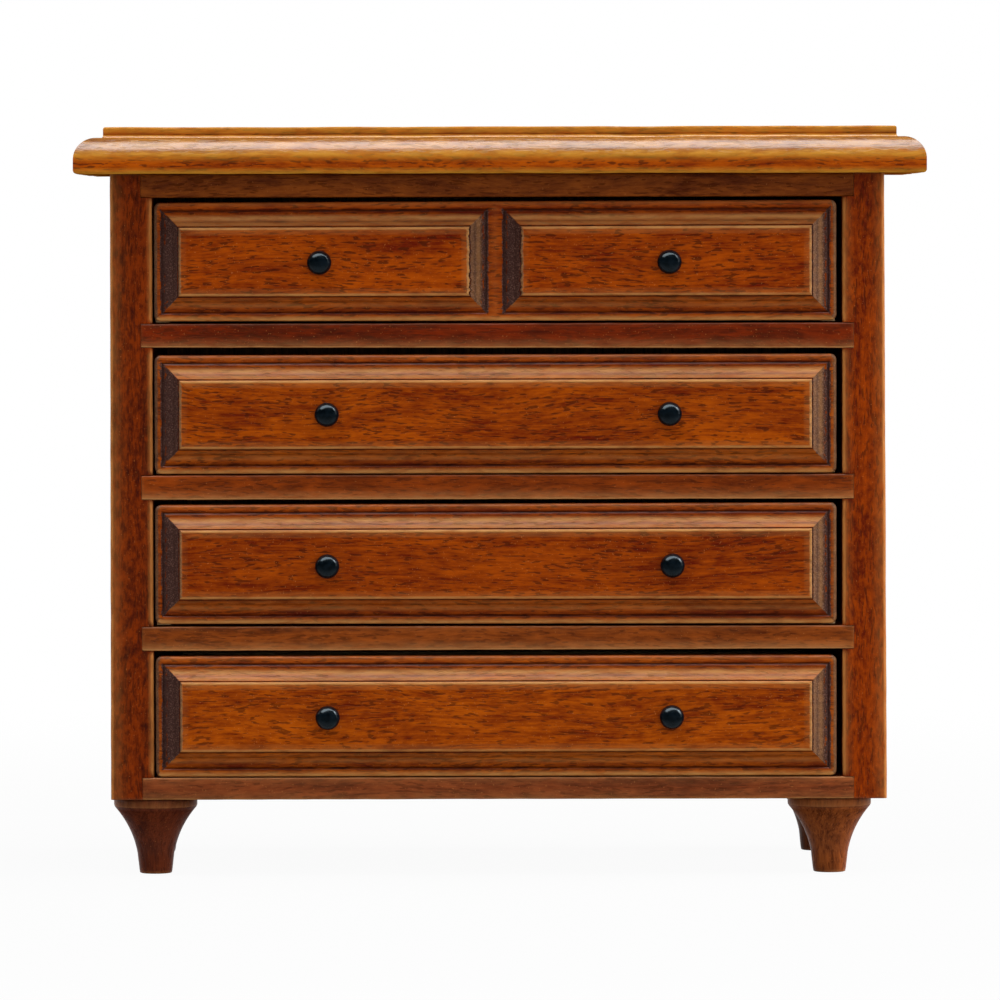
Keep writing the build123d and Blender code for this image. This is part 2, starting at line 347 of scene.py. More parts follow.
def arc(start, end, bulge, count):
    """Points from start to end on an arc that bulges to the left of the way there."""
    start, end = np.array(start, float), np.array(end, float)
    chord = np.linalg.norm(end - start)
    ahead = (end - start) / chord
    left = np.array((-ahead[1], ahead[0]))
    radius = (chord ** 2 / 4 + bulge ** 2) / (2 * abs(bulge))
    half = math.asin(chord / 2 / radius)
    points = []
    for i in range(count + 1):
        angle = half * (2 * i / count - 1)
        rise = radius * (math.cos(angle) - math.cos(half)) * (1 if bulge > 0 else -1)
        points.append((start + end) / 2 + ahead * radius * math.sin(angle) + left * rise)
    return points


# ---------------------------------------------------------------- materials

class Nodes:
    """Short calls for the nodes of one material."""

    def __init__(self, name):
        self.material = bpy.data.materials.new(name)
        self.material.use_nodes = True
        self.tree = self.material.node_tree
        self.tree.nodes.clear()

    def add(self, kind, inputs, **settings):
        """A node with these settings and inputs, by name or number. Returns the node."""
        node = self.tree.nodes.new(kind)
        for key, value in settings.items():
            setattr(node, key, value)
        for key, value in inputs.items():
            if isinstance(value, bpy.types.NodeSocket):
                self.tree.links.new(value, node.inputs[key])
            else:
                node.inputs[key].default_value = value
        return node

    def maths(self, operation, *values):
        """A sum or other operation on numbers."""
        return self.add("ShaderNodeMath", dict(enumerate(values)), operation=operation).outputs[0]

    def vector(self, operation, *values):
        """An operation on vectors."""
        return self.add("ShaderNodeVectorMath", dict(enumerate(values)), operation=operation).outputs[0]

    def noise(self, place, scale, detail=2.0, roughness=0.5):
        """Noise from 0 to 1, with its own scale along each axis in cycles per mm."""
        stretched = self.vector("MULTIPLY", place, scale)
        inputs = {"Vector": stretched, "Scale": 1.0, "Detail": detail, "Roughness": roughness}
        return self.add("ShaderNodeTexNoise", inputs)

    def ramp(self, value, low, high, to_low=0.0, to_high=1.0):
        """A value eased from low and high to to_low and to_high."""
        inputs = {"Value": value, "From Min": low, "From Max": high, "To Min": to_low, "To Max": to_high}
        return self.add("ShaderNodeMapRange", inputs, interpolation_type="SMOOTHSTEP").outputs[0]

    def mix(self, share, first, second):
        """One colour laid over another. A share beyond 0 or 1 counts as 0 or 1."""
        return self.add("ShaderNodeMix", {0: share, 6: first, 7: second}, data_type="RGBA").outputs[2]

    def attribute(self, name):
        """A finish value of the mesh."""
        return self.add("ShaderNodeAttribute", {}, attribute_name=name).outputs["Fac"]

    def place_mm(self):
        """The place on the object, in mm."""
        place = self.add("ShaderNodeTexCoord", {}).outputs["Object"]
        return self.vector("MULTIPLY", place, (1000.0, 1000.0, 1000.0))

    def grain_place(self, axis, seed):
        """The place in mm with the grain's axis first, in a part of the noise of its own."""
        split = self.add("ShaderNodeSeparateXYZ", {0: self.place_mm()})
        ordered = {i: split.outputs[letter] for i, letter in enumerate(GRAIN_ORDER[axis])}
        place = self.add("ShaderNodeCombineXYZ", ordered).outputs[0]
        return self.vector("ADD", place, (seed * 37.0, seed * 11.0, seed * 23.0))

    def facing(self):
        """The outputs X, Y and Z of the way that the surface faces."""
        normal = self.add("ShaderNodeTexCoord", {}).outputs["Normal"]
        return self.add("ShaderNodeSeparateXYZ", {0: normal}).outputs

    def bump(self, height, strength, distance):
        """Small relief from a height, with its full depth in metres."""
        inputs = {"Height": height, "Strength": strength, "Distance": distance}
        return self.add("ShaderNodeBump", inputs).outputs[0]

    def finish(self, **inputs):
        """Wire the shader's inputs, named with _ for a space, and return the material."""
        shader = self.add("ShaderNodeBsdfPrincipled", {k.replace("_", " "): v for k, v in inputs.items()})
        self.add("ShaderNodeOutputMaterial", {"Surface": shader.outputs[0]})
        return self.material


def srgb(red, green, blue):
    """A colour in sRGB steps from 0 to 255, as the linear colour with alpha that nodes take."""
    steps = [v / 255 for v in (red, green, blue)]
    return tuple(s / 12.92 if s <= 0.04045 else ((s + 0.055) / 1.055) ** 2.4 for s in steps) + (1.0,)


GRAIN_ORDER = {"X": ("X", "Y", "Z"), "Z": ("Z", "X", "Y"), "Y": ("Y", "X", "Z")}
PORE_TONE = srgb(62, 20, 3)
SPECK_TONE = srgb(190, 120, 60)
END_DARK = srgb(58, 30, 24)
# The pale specks of end grain are partly the grain's colour and partly painted glints
END_PALE_AND_GLINT = srgb(128, 92, 76)
# The dark tone of dirt in grooves, also laid on as painted shade
GRIME_AND_SHADE_TONE = srgb(38, 12, 5)
FLAT_SHEEN = 0.05
LEVEL_SHEEN = 0.25


def stain(n, place, grain, tones, amounts):
    """The stained colour, and the fine fibre in it.

    amounts are the contrasts of broad bands, of streaks, of lines and of mottling, and last how
    often the mottling changes along the grain, per mm.
    """
    bands, streaks, lines, mottling, curl = amounts
    broad = n.noise(place, (0.07, 0.28, 0.28), 2.0).outputs["Fac"]
    streak = n.noise(grain, (0.06, 1.3, 1.3), 3.0, 0.6).outputs["Fac"]
    mottle = n.noise(grain, (curl, 1.5, 1.5), 3.0, 0.65).outputs["Fac"]
    line = n.noise(grain, (0.14, 4.6, 4.6), 2.0, 0.6).outputs["Fac"]
    fibre = n.noise(grain, (0.7, 5.5, 5.5), 2.0, 0.6).outputs["Fac"]
    tone = 0.5
    patterns = ((broad, bands), (streak, streaks), (line, lines), (mottle, mottling), (fibre, 0.25))
    for pattern, amount in patterns:
        tone = n.maths("MULTIPLY_ADD", n.maths("SUBTRACT", pattern, 0.5), amount, tone)
    return n.mix(n.ramp(tone, 0.18, 0.82), *tones), fibre


def add_pores(n, place, grain, pores, colour):
    """Dark dashes along the grain, crowded in places. Returns the colour and the dashes."""
    dash = n.noise(grain, (0.75, 4.2, 4.2), 1.0).outputs["Fac"]
    crowd = n.noise(place, (0.12, 0.4, 0.4), 1.0).outputs["Fac"]
    crowded = n.maths("MULTIPLY_ADD", crowd, 0.25, dash)
    dashes = n.ramp(crowded, 0.72 - 0.04 * pores, 0.80 - 0.04 * pores)
    return n.mix(n.maths("MULTIPLY", dashes, 0.35 + 0.5 * pores), colour, PORE_TONE), dashes


def add_end_grain(n, speckle, across, ends, colour):
    """Rough speckled end grain, where the surface faces along the grain. Its pale specks are partly painted
    glints.
    """
    end_share = n.ramp(n.maths("ABSOLUTE", across), 0.07, 0.20, 0.0, ends)
    end_tone = n.mix(n.ramp(speckle, 0.46, 0.74), END_DARK, END_PALE_AND_GLINT)
    return n.mix(end_share, colour, end_tone), end_share


def add_wear_grime_and_painted_light(n, grain, wear_and_highlight, colour):
    """Rubbed edges and dirt in the grooves, both patchy, where the mesh says so. In places the rubbed tone is
    a painted highlight and the dark tone a painted shade.
    """
    patchy = n.noise(grain, (0.35, 1.6, 1.6), 3.0, 0.65).outputs["Fac"]
    rubbed = n.maths("MULTIPLY", n.attribute("wear_and_highlight"), n.ramp(patchy, 0.30, 0.64, 0.5, 1.0))
    colour = n.mix(rubbed, colour, wear_and_highlight)
    grime_and_shade = n.maths("MULTIPLY", n.attribute("grime_and_shade"), n.ramp(patchy, 0.3, 0.7, 1.0, 0.6))
    return n.mix(grime_and_shade, colour, GRIME_AND_SHADE_TONE)


def lacquer_polish(n, upwards, end_share, sheen):
    """The strength of the gleam: full on sloping mouldings that face up, and none below."""
    polish = n.ramp(upwards, 0.12, 0.55, FLAT_SHEEN, sheen)
    polish = n.maths("MINIMUM", polish, n.ramp(upwards, 0.88, 0.99, sheen, LEVEL_SHEEN))
    polish = n.maths("MULTIPLY_ADD", end_share, 0.1, polish)
    return n.maths("MULTIPLY", polish, n.ramp(upwards, -0.7, -0.2))


def wood(name, dark, light, wear_and_highlight, axis="X", seed=0.0, pores=0.5, figure=1.0, mottling=0.65, curl=0.35,
         lines=0.3, ends=1.0, roughness=0.36, sheen=0.3, relief=0.6):
    """Stained and lacquered wood, solid all through, with its grain along one axis.

    dark and light are the tones that the stain varies between, and the third tone is laid on rubbed
    edges and, on the drawer fronts, also as painted highlight. pores, figure, mottling, lines and ends
    say how strongly each of these shows, and curl is how often the mottling changes along the grain, per mm.
    """
    n = Nodes(name)
    place = n.grain_place(axis, seed)
    wander = n.noise(place, (0.05, 0.16, 0.16), 1.0).outputs["Color"]
    wander = n.vector("SUBTRACT", wander, (0.5, 0.5, 0.5))
    wander = n.vector("MULTIPLY", wander, (0.0, 2.6, 2.6))
    grain = n.vector("ADD", place, wander)

    amounts = (0.5 * figure, 0.4 * figure, lines, mottling, curl)
    colour, fibre = stain(n, place, grain, (dark, light), amounts)
    colour, dashes = add_pores(n, place, grain, pores, colour)
    speck = n.noise(place, (6.0, 6.0, 6.0), 0.0).outputs["Fac"]
    colour = n.mix(n.ramp(speck, 0.76, 0.84, 0.0, 0.35), colour, SPECK_TONE)
    facing = n.facing()
    speckle = n.noise(place, (7.0, 7.0, 7.0), 2.0, 0.7).outputs["Fac"]
    colour, end_share = add_end_grain(n, speckle, facing[axis], ends, colour)
    colour = add_wear_grime_and_painted_light(n, grain, wear_and_highlight, colour)

    depth = n.maths("MULTIPLY_ADD", dashes, -1.2, n.maths("MULTIPLY", fibre, 0.6))
    depth = n.maths("MULTIPLY_ADD", n.maths("MULTIPLY", speckle, end_share), 2.5, depth)
    bump = n.bump(depth, relief, 0.00004)
    gloss = n.ramp(n.maths("ADD", fibre, dashes), 0.2, 1.6, roughness - 0.05, roughness + 0.18)
    gloss = n.maths("MULTIPLY_ADD", end_share, 0.15, gloss)
    polish = lacquer_polish(n, facing["Z"], end_share, sheen)
    return n.finish(Base_Color=colour, Roughness=gloss, Specular_IOR_Level=polish, Normal=bump)


def bare_wood(name, dark, light, axis, seed):
    """Pale unstained wood with faint grain."""
    n = Nodes(name)
    place = n.grain_place(axis, seed)
    streak = n.noise(place, (0.05, 1.1, 1.1), 3.0, 0.6).outputs["Fac"]
    fibre = n.noise(place, (0.5, 6.0, 6.0), 2.0, 0.6).outputs["Fac"]
    tone = n.ramp(n.maths("MULTIPLY_ADD", fibre, 0.5, streak), 0.5, 1.0)
    colour = n.mix(tone, dark, light)
    rubbed = n.maths("MULTIPLY", n.attribute("wear_and_highlight"), 0.4)
    colour = n.mix(rubbed, colour, light)
    bump = n.bump(fibre, 0.5, 0.00003)
    gloss = n.ramp(fibre, 0.3, 0.7, 0.62, 0.78)
    return n.finish(Base_Color=colour, Roughness=gloss, Specular_IOR_Level=0.2, Normal=bump)


def enamel():
    """Black enamel, not quite even, glossy on top, dull in front and a little glossy below."""
    n = Nodes("black_enamel")
    place = n.place_mm()
    uneven = n.noise(place, (1.6, 1.6, 1.6), 2.0).outputs["Fac"]
    fine = n.noise(place, (9.0, 9.0, 9.0), 1.0).outputs["Fac"]
    colour = n.mix(n.ramp(uneven, 0.3, 0.7), srgb(4, 9, 13), srgb(10, 18, 24))
    gloss = n.ramp(n.maths("ADD", uneven, fine), 0.6, 1.4, 0.10, 0.22)
    bump = n.bump(uneven, 0.35, 0.00004)
    upwards = n.facing()["Z"]
    polish = n.ramp(upwards, 0.2, 0.5, 0.03, 0.5)
    polish = n.maths("MAXIMUM", polish, n.ramp(upwards, -0.4, -0.05, 0.13, 0.03))
    return n.finish(Base_Color=colour, Roughness=gloss, Specular_IOR_Level=polish, Normal=bump,
                    Specular_Tint=(0.75, 0.92, 1.0, 1.0))


# ---------------------------------------------------------------- drawer fronts

def front_profile():
    """The relief of a front, from the flat of its lip inwards to its field.

    The rows are (inset, height, wear, darkening, wear of each side, extra darkening of each side).
    On the coves and the field's edge the wear is partly painted highlight, and the extra darkening of the
    left coves is painted shade.
    """
    clean = (0.0, 0.0, 0.0, 0.0)
    rows = [
        (LIP_WIDTH - 0.3, 0.0, 0.1, 0.05, LIP_WEAR, clean),
        (LIP_WIDTH - 0.14, -0.02, 0.0, 0.55, LIP_WEAR, clean),
        (LIP_WIDTH - 0.04, -0.12, 0.0, 1.0, LIP_WEAR, clean),
        (LIP_WIDTH + 0.1, -0.07, 0.0, 0.95, LIP_WEAR, clean),
    ]
    foot = (LIP_WIDTH + 0.18, 0.01)
    crest = (LIP_WIDTH + COVE_WIDTH - 0.12, COVE_HEIGHT - 0.03)
    hollow = arc(foot, crest, -COVE_HOLLOW, 16)
    for i, (inset, height) in enumerate(hollow):
        share = i / (len(hollow) - 1)
        # Pale bands on the cove: partly wear, partly painted highlight standing for light on small steep
        # facets
        ridge_highlights = 0.65 * bell(share, 0.38, 0.14) + 0.28 * bell(share, 0.84, 0.12)
        wear_and_highlight = 0.5 * clamp((share - 0.1) / 0.2) + ridge_highlights
        grime_and_shade = 0.5 * (1 - share) ** 4 + 0.45 * bell(share, 0.64, 0.06)
        rows.append((inset, height, wear_and_highlight, grime_and_shade, COVE_WEAR_AND_HIGHLIGHT, COVE_SHADE))
    step = LIP_WIDTH + COVE_WIDTH
    rows += [
        (step - 0.1, COVE_HEIGHT - 0.02, 0.0, 0.8, COVE_WEAR_AND_HIGHLIGHT, clean),
        (step, COVE_HEIGHT - 0.04, 0.0, 0.9, FIELD_WEAR_AND_HIGHLIGHT, clean),
        (step + 0.04, COVE_HEIGHT + 0.08, 0.2, 0.5, FIELD_WEAR_AND_HIGHLIGHT, clean),
        (step + 0.08, FIELD_HEIGHT - 0.08, 1.0, 0.0, FIELD_WEAR_AND_HIGHLIGHT, clean),
        (step + 0.18, FIELD_HEIGHT - 0.02, 1.0, 0.0, FIELD_WEAR_AND_HIGHLIGHT, clean),
        (step + 0.28, FIELD_HEIGHT, 1.0, 0.0, FIELD_WEAR_AND_HIGHLIGHT, clean),
        (step + 0.38, FIELD_HEIGHT, 0.22, 0.0, FIELD_WEAR_AND_HIGHLIGHT, clean),
        (step + 0.9, FIELD_HEIGHT, 0.1, 0.0, FIELD_WEAR_AND_HIGHLIGHT, clean),
    ]
    return rows


# A front from its back round to the flat of its lip: (inset, height, wear, darkening, corner radius)
EDGE_ROWS = [
    (0.12, -SLAB, 0.2, 0.0, LIP_CORNER),
    (0.03, -SLAB + 0.04, 0.4, 0.0, LIP_CORNER),
    (0.0, -SLAB + 0.14, 0.1, 0.0, LIP_CORNER),
    (0.0, -1.0, 0.0, 0.3, LIP_CORNER),
    (0.0, -LIP_ROUNDING, 0.2, 0.0, LIP_CORNER),
    (0.03, -0.22, 0.6, 0.0, LIP_CORNER),
    (0.105, -0.105, 1.0, 0.0, LIP_CORNER - 0.08),
    (0.22, -0.03, 1.0, 0.0, LIP_CORNER - 0.16),
    (LIP_ROUNDING, 0.0, 0.7, 0.0, LIP_CORNER - 0.28),
    (0.5, 0.0, 0.4, 0.0, 0.3),
]


def build_front(drawer, material, seed):
    """A drawer front: a slab with a rounded lip, and one or two raised fields in coves."""
    node = f"{drawer}_drawer_front"
    low, high = box_mm(node)
    lip_y = low[1] + FIELD_HEIGHT
    centre_x = (low[0] + high[0]) / 2
    divided = drawer == "top"
    shape = Shape()

    up = fractions(high[2] - low[2], FRONT_FINE, FRONT_COARSE_UP, FRONT_ZONE)
    if divided:
        half = fractions((high[0] - low[0]) / 2, FRONT_FINE, FRONT_COARSE_ALONG, FRONT_ZONE)
        along = [h / 2 for h in half] + [0.5 + h / 2 for h in half[1:]]
        panels = [((low[0], centre_x), (0, 1), half), ((centre_x, high[0]), (1, 0), half)]
    else:
        along = fractions(high[0] - low[0], FRONT_FINE, FRONT_COARSE_ALONG, FRONT_ZONE)
        panels = [((low[0], high[0]), (0, 0), along)]

    def ring(x_span, places, insets, height_out, wear_and_highlight, grime_and_shade, radii, wear=LIP_WEAR, side_grime_and_shade=(0, 0, 0, 0)):
        """A ring round the front, set in by (left, right, foot and head) and out from the lip."""
        left, right, rest = insets
        spans = (x_span[0] + left, x_span[1] - right), (low[2] + rest, high[2] - rest)
        flat = four_sided(*spans, places, up, radii)
        points = [(x, lip_y - height_out, z) for x, z in flat]
        steps = [len(places) - 1, len(up) - 1] * 2
        return shape.ring(points, wear_and_highlight * np.repeat(wear, steps), grime_and_shade + np.repeat(side_grime_and_shade, steps))

    edge = []
    for inset, rise, wear_and_highlight, grime_and_shade, radius in EDGE_ROWS:
        insets = (inset, inset, inset)
        edge.append(ring((low[0], high[0]), along, insets, rise, wear_and_highlight, grime_and_shade, [radius] * 4, side_grime_and_shade=LIP_SIDE_DARKENING))
    shape.skin(edge)
    shape.cap(edge[0], flip=True)

    start, start_height, start_worn, _, start_radius = EDGE_ROWS[-1]
    for x_span, (bar_left, bar_right), places in panels:
        left_radius = 0 if bar_left else start_radius
        right_radius = 0 if bar_right else start_radius
        radii = [left_radius, right_radius, right_radius, left_radius]
        insets = (0 if bar_left else start, 0 if bar_right else start, start)
        relief = [ring(x_span, places, insets, start_height, start_worn, 0.0, radii)]
        for inset, rise, wear_and_highlight, grime_and_shade, wear, side_grime_and_shade in front_profile():
            moved = inset - LIP_WIDTH + BAR_WIDTH / 2
            sides = (moved if bar_left else inset, moved if bar_right else inset, inset)
            relief.append(ring(x_span, places, sides, rise, wear_and_highlight, grime_and_shade, [0] * 4, wear, side_grime_and_shade))
        shape.skin(relief)
        shape.fill(relief[-1], len(places) - 1, len(up) - 1)

    shape.weld()
    roughen_front(shape, lip_y, centre_x if divided else None, (low, high), seed)
    shift_edges(shape, FRONT_STRAY[drawer], low, high)
    shape.piece(node, material, "front_wood", [front_joints(low, high, lip_y + SLAB)])


def shift_edges(shape, strays, low, high):
    """Move the lower and the upper edge to where the hand that cut them left them."""
    foot_left, foot_right, head_left, head_right = strays
    for vertex in shape.mesh.verts:
        across = (vertex.co.x - low[0]) / (high[0] - low[0])
        rise = (vertex.co.z - low[2]) / (high[2] - low[2])
        foot = foot_left + (foot_right - foot_left) * across
        head = head_left + (head_right - head_left) * across
        vertex.co.z += foot + (head - foot) * rise


def front_joints(low, high, back_y):
    """The laps for the two sides and the groove for the bottom, cut in the back of a front."""
    box_top = high[2] - BOX_DROP
    wall = BOX_INSET + BOX_WALL
    groove_foot = low[2] + GROOVE_RISE
    return [
        ((low[0] - SPARE, back_y - LAP, low[2] - SPARE), (low[0] + wall, back_y + SPARE, box_top)),
        ((high[0] - wall, back_y - LAP, low[2] - SPARE), (high[0] + SPARE, back_y + SPARE, box_top)),
        ((low[0] + wall + SLOT_SLACK, back_y - GROOVE_DEPTH, groove_foot),
         (high[0] - wall - SLOT_SLACK, back_y + SPARE, groove_foot + GROOVE_HEIGHT)),
    ]


def rough(place, depth, waves, shift=0):
    """How far a rough surface lies out at a place, for waves of this length."""
    return depth * noise.noise(place / waves + Vector((shift, 0, 0)))


def roughen_front(shape, lip_y, bar_x, box, seed):
    """Uneven cutting: rough end grain in the coves at the ends, and torn edges beside the bar."""
    low, high = box
    reach = LIP_WIDTH + COVE_WIDTH
    for vertex in shape.mesh.verts:
        x, y, z = vertex.co
        out = lip_y - y
        if out < -LIP_ROUNDING:
            continue
        place = Vector((x, out, z)) + Vector((seed * 9, seed * 5, seed * 3))
        vertex.co.y += rough(place, depth=0.035, waves=2.2) * (1 if out > 0.1 else 0.4)
        from_end = min(x - low[0], high[0] - x)
        from_edge = min(z - low[2], high[2] - z)
        if from_end < reach + 0.6 and from_end < from_edge:
            vertex.co.y += rough(place, depth=0.05, waves=0.28)
            vertex.co.x += rough(place, depth=0.035, waves=0.35, shift=7)
        if bar_x is None:
            continue
        from_bar = abs(x - bar_x) - BAR_WIDTH / 2
        if -0.2 < from_bar < COVE_WIDTH + 0.8 and from_bar + LIP_WIDTH < from_edge + 0.15:
            torn = max(0.0, 1 - abs(from_bar - COVE_WIDTH) / 0.75)
            ragged = noise.noise(Vector((seed, 0, z / 0.45))) + 0.7 * noise.noise(Vector((seed, 4, z / 0.2)))
            vertex.co.x += math.copysign(1, x - bar_x) * 0.2 * ragged * torn
            vertex.co.y += max(0.0, rough(place, depth=0.09, waves=0.3)) * torn
            vertex.co.y += rough(place, depth=0.06, waves=0.22)


# ---------------------------------------------------------------- boards

def rounded_outline(spans, radius, counts, wear, reach):
    """Points round a rectangle with rounded corners, and the wear at each.

    counts are the steps along its first pair of sides and along its second. wear is how rubbed
    each corner is, from the one that is high in the first span and low in the second, and reach
    how far that wear spreads from it.
    """
    (u0, u1), (v0, v1) = spans
    points, wear_and_highlight = [], []
    corners = [(u1, v0), (u1, v1), (u0, v1), (u0, v0)]
    inwards = [(-1, 1), (-1, -1), (1, -1), (1, 1)]
    starts = [-90, 0, 90, 180]
    centres = [np.array((u + du * radius, v + dv * radius)) for (u, v), (du, dv) in zip(corners, inwards)]
    for i in range(4):
        following = (i + 1) % 4
        for k, share in enumerate(ROUND_WEAR):
            angle = math.radians(starts[i] + 30 * k)
            points.append(centres[i] + radius * np.array((math.cos(angle), math.sin(angle))))
            wear_and_highlight.append(share * wear[i])
        last = points[-1]
        angle = math.radians(starts[following])
        goal = centres[following] + radius * np.array((math.cos(angle), math.sin(angle)))
        length = np.linalg.norm(goal - last)
        near = min(0.3, length / 4)
        count = counts[(i + 1) % 2]
        for k in range(count + 1):
            gone = near + (length - 2 * near) * k / count
            points.append(last + (goal - last) * gone / length)
            near_wear = wear[i] * math.exp(-gone / reach[i])
            far_wear = wear[following] * math.exp((gone - length) / reach[following])
            wear_and_highlight.append(0.5 * (near_wear + far_wear))
    return np.array(points), np.array(wear_and_highlight)


def board(low, high, axis, radius, step, wear, reach):
    """A straight board between two corners, with its length along one axis and soft edges."""
    length_axis = "XYZ".index(axis)
    others = [i for i in range(3) if i != length_axis]
    start, end = low[length_axis], high[length_axis]
    turn = END_ROUNDING
    head = [(start, turn, 0.3), (start + 0.3 * turn, 0.3 * turn, 0.4), (start + turn, 0, 0.2)]
    inner = end - start - 2 * (turn + END_BAND)
    count = max(1, round(inner / step))
    middle = [(start + turn + END_BAND + inner * k / count, 0, 0.0) for k in range(count + 1)]
    tail = [(end - (place - start), inset, wear_and_highlight) for place, inset, wear_and_highlight in reversed(head)]
    counts = [max(1, round((high[i] - low[i]) / step)) for i in others]
    shape = Shape()
    rings = []
    for place, inset, end_worn in head + middle + tail:
        spans = [(low[i] + inset, high[i] - inset) for i in others]
        outline, wear_and_highlight = rounded_outline(spans, max(radius - inset, 0.02), counts, wear, reach)
        points = np.zeros((len(outline), 3))
        points[:, length_axis] = place
        points[:, others] = outline
        rings.append(shape.ring(points, np.maximum(wear_and_highlight, end_worn * max(wear) * 0.5)))
    shape.skin(rings)
    shape.cap(rings[0], flip=True)
    shape.cap(rings[-1])
    return shape


def build_board(node, axis, material, slot, radius=0.2, seed=1.0, cuts=(), step=1.0, amount=0.03,
                wear=(0.3, 0.3, 0.3, 0.3), reach=(0.4, 0.4, 0.4, 0.4), lean=(0.0, 0.0)):
    """A board in the place of a CAD node.

    amount is how far its surfaces waver, and lean how far its left and its right face come
    outwards at the foot.
    """
    low, high = box_mm(node)
    stray_left, stray_right = DIVIDER_STRAY.get(node, (0.0, 0.0))
    shape = board(low, high, axis, radius, step, wear, reach)
    shape.waver(3.0, amount, seed, (0.4, 1, 1) if axis == "X" else (1, 1, 0.4))
    for vertex in shape.mesh.verts:
        depth = (high[2] - vertex.co.z) / (high[2] - low[2])
        across = (vertex.co.x - low[0]) / (high[0] - low[0])
        vertex.co.z += (stray_left + (stray_right - stray_left) * across) * depth
        if vertex.co.x < low[0] + LEAN_BAND:
            vertex.co.x -= lean[0] * depth
        if vertex.co.x > high[0] - LEAN_BAND:
            vertex.co.x += lean[1] * depth
    shape.piece(node, material, slot, cuts)


def build_side_panel(side, material, seed):
    """One end of the case, cut for the boards that run into it and for the back."""
    node = f"side_panel_{side}"
    low, _ = box_mm(node)
    cuts = []
    for board_node in ("bottom_board", "lower_divider", "middle_divider", "upper_divider", "top_rail"):
        board_low, board_high = box_mm(board_node)
        stray = DIVIDER_STRAY.get(board_node, (0.0, 0.0))[side == "right"]
        slot_low = (board_low[0] - SLOT_SLACK, low[1] - SPARE, board_low[2] - SLOT_SLACK + stray)
        slot_high = (board_high[0] + SLOT_SLACK, board_high[1], board_high[2] + SLOT_SLACK)
        cuts.append((slot_low, slot_high))
    back_low, back_high = box_mm("back_panel")
    rebate = (back_low - (0, 0, SPARE), back_high + (0, SPARE, SPARE))
    wear, reach, lean = SIDE_PANELS[side]
    build_board(node, "Z", material, "case_wood", 0.4, seed, [cuts, [rebate]],
                wear=wear, reach=reach, lean=lean)


# ---------------------------------------------------------------- top board

def build_top_board(material):
    """The top, moulded along its front and ends and cut square at the back."""
    low, high = box_mm("top_board")
    band_inset = OVOLO_WIDTH + COVE_RADIUS
    thickness = high[2] - low[2]
    # Rows of (inset, rise, wear, darkening), from the underside outwards, up the edge and inwards again.
    # The darkening on the underside, under the overhang, is painted shade.
    rows = [(2.2, 0.0, 0.3, 0.4), (0.8, 0.0, 0.8, 0.0), (0.5, 0.0, 1.0, 0.0)]
    for inset, rise in arc((TOP_EDGE_ROUNDING, 0.0), (0.0, TOP_EDGE_ROUNDING), TOP_EDGE_BULGE, 5):
        rows.append((inset, rise, 1.2 - 2.0 * rise, 0.0))
    rows.append((0.0, 0.75, 0.0, 0.0))
    rows.append((0.0, OVOLO_FOOT - 0.3, 0.0, 0.0))
    for inset, rise in arc((0.0, OVOLO_FOOT), (OVOLO_WIDTH, OVOLO_TOP), OVOLO_BULGE, 18):
        rubbed = 0.9 * bell(rise, GOLD_RISE, 0.6)
        above = clamp((rise - GOLD_RISE) / 0.7)
        rows.append((inset, rise, max(rubbed, 0.7 * above), 0.55 * above))
    for inset, rise in arc((OVOLO_WIDTH + 0.03, OVOLO_TOP + 0.02), (band_inset, OVOLO_TOP + 0.3), -0.08, 3):
        rows.append((inset, rise, 0.9, 0.0))
    rows += [
        (band_inset, OVOLO_TOP + 0.42, 0.1, 0.4),
        (band_inset, OVOLO_TOP + 0.6, 0.5, 0.1),
        (band_inset, thickness - 0.22, 0.6, 0.0),
        (band_inset + 0.06, thickness - 0.07, 1.0, 0.0),
        (band_inset + 0.2, thickness, 0.9, 0.0),
        (band_inset + 0.5, thickness, 0.3, 0.0),
        (band_inset + 1.2, thickness, 0.15, 0.0),
    ]
    along = fractions(high[0] - low[0], 0.4, 0.8, 4.0)
    up = fractions(high[1] - low[1], 0.4, 0.8, 4.0)
    shape = Shape()
    rings = []
    for inset, rise, wear_and_highlight, grime_and_shade in rows:
        spans = (low[0] + inset, high[0] - inset), (low[1] + inset, high[1])
        flat = four_sided(*spans, along, up, [0] * 4)
        rings.append(shape.ring([(x, y, low[2] + rise) for x, y in flat], wear_and_highlight, grime_and_shade))
    shape.skin(rings)
    shape.fill(rings[-1], len(along) - 1, len(up) - 1)
    shape.cap(rings[0], flip=True)
    shape.waver(5.0, 0.06, 3.0, (0.5, 0.6, 1))
    shape.waver(0.9, 0.006, 4.0)
    shape.piece("top_board", material, "top_wood")


# ---------------------------------------------------------------- turned pieces

def turned(profile, centre, axis, steps, roundness=0.0, seed=0.0):
    """A turned piece: profile rows are (radius, place along the axis, wear, darkening)."""
    shape = Shape()
    rings = []
    for radius, place, wear_and_highlight, grime_and_shade in profile:
        points = []
        for i in range(steps):
            angle = 2 * math.pi * i / steps
            wobble = 1 + roundness * noise.noise(Vector((math.cos(angle), math.sin(angle), place / 3 + seed)))
            u, v = radius * wobble * math.cos(angle), radius * wobble * math.sin(angle)
            points.append((u, v, place) if axis == "Z" else (u, -place, v))
        rings.append(shape.ring(np.array(points) + np.array(centre), wear_and_highlight, grime_and_shade))
    shape.skin(rings)
    shape.cap(rings[0], flip=True)
    shape.cap(rings[-1])
    return shape


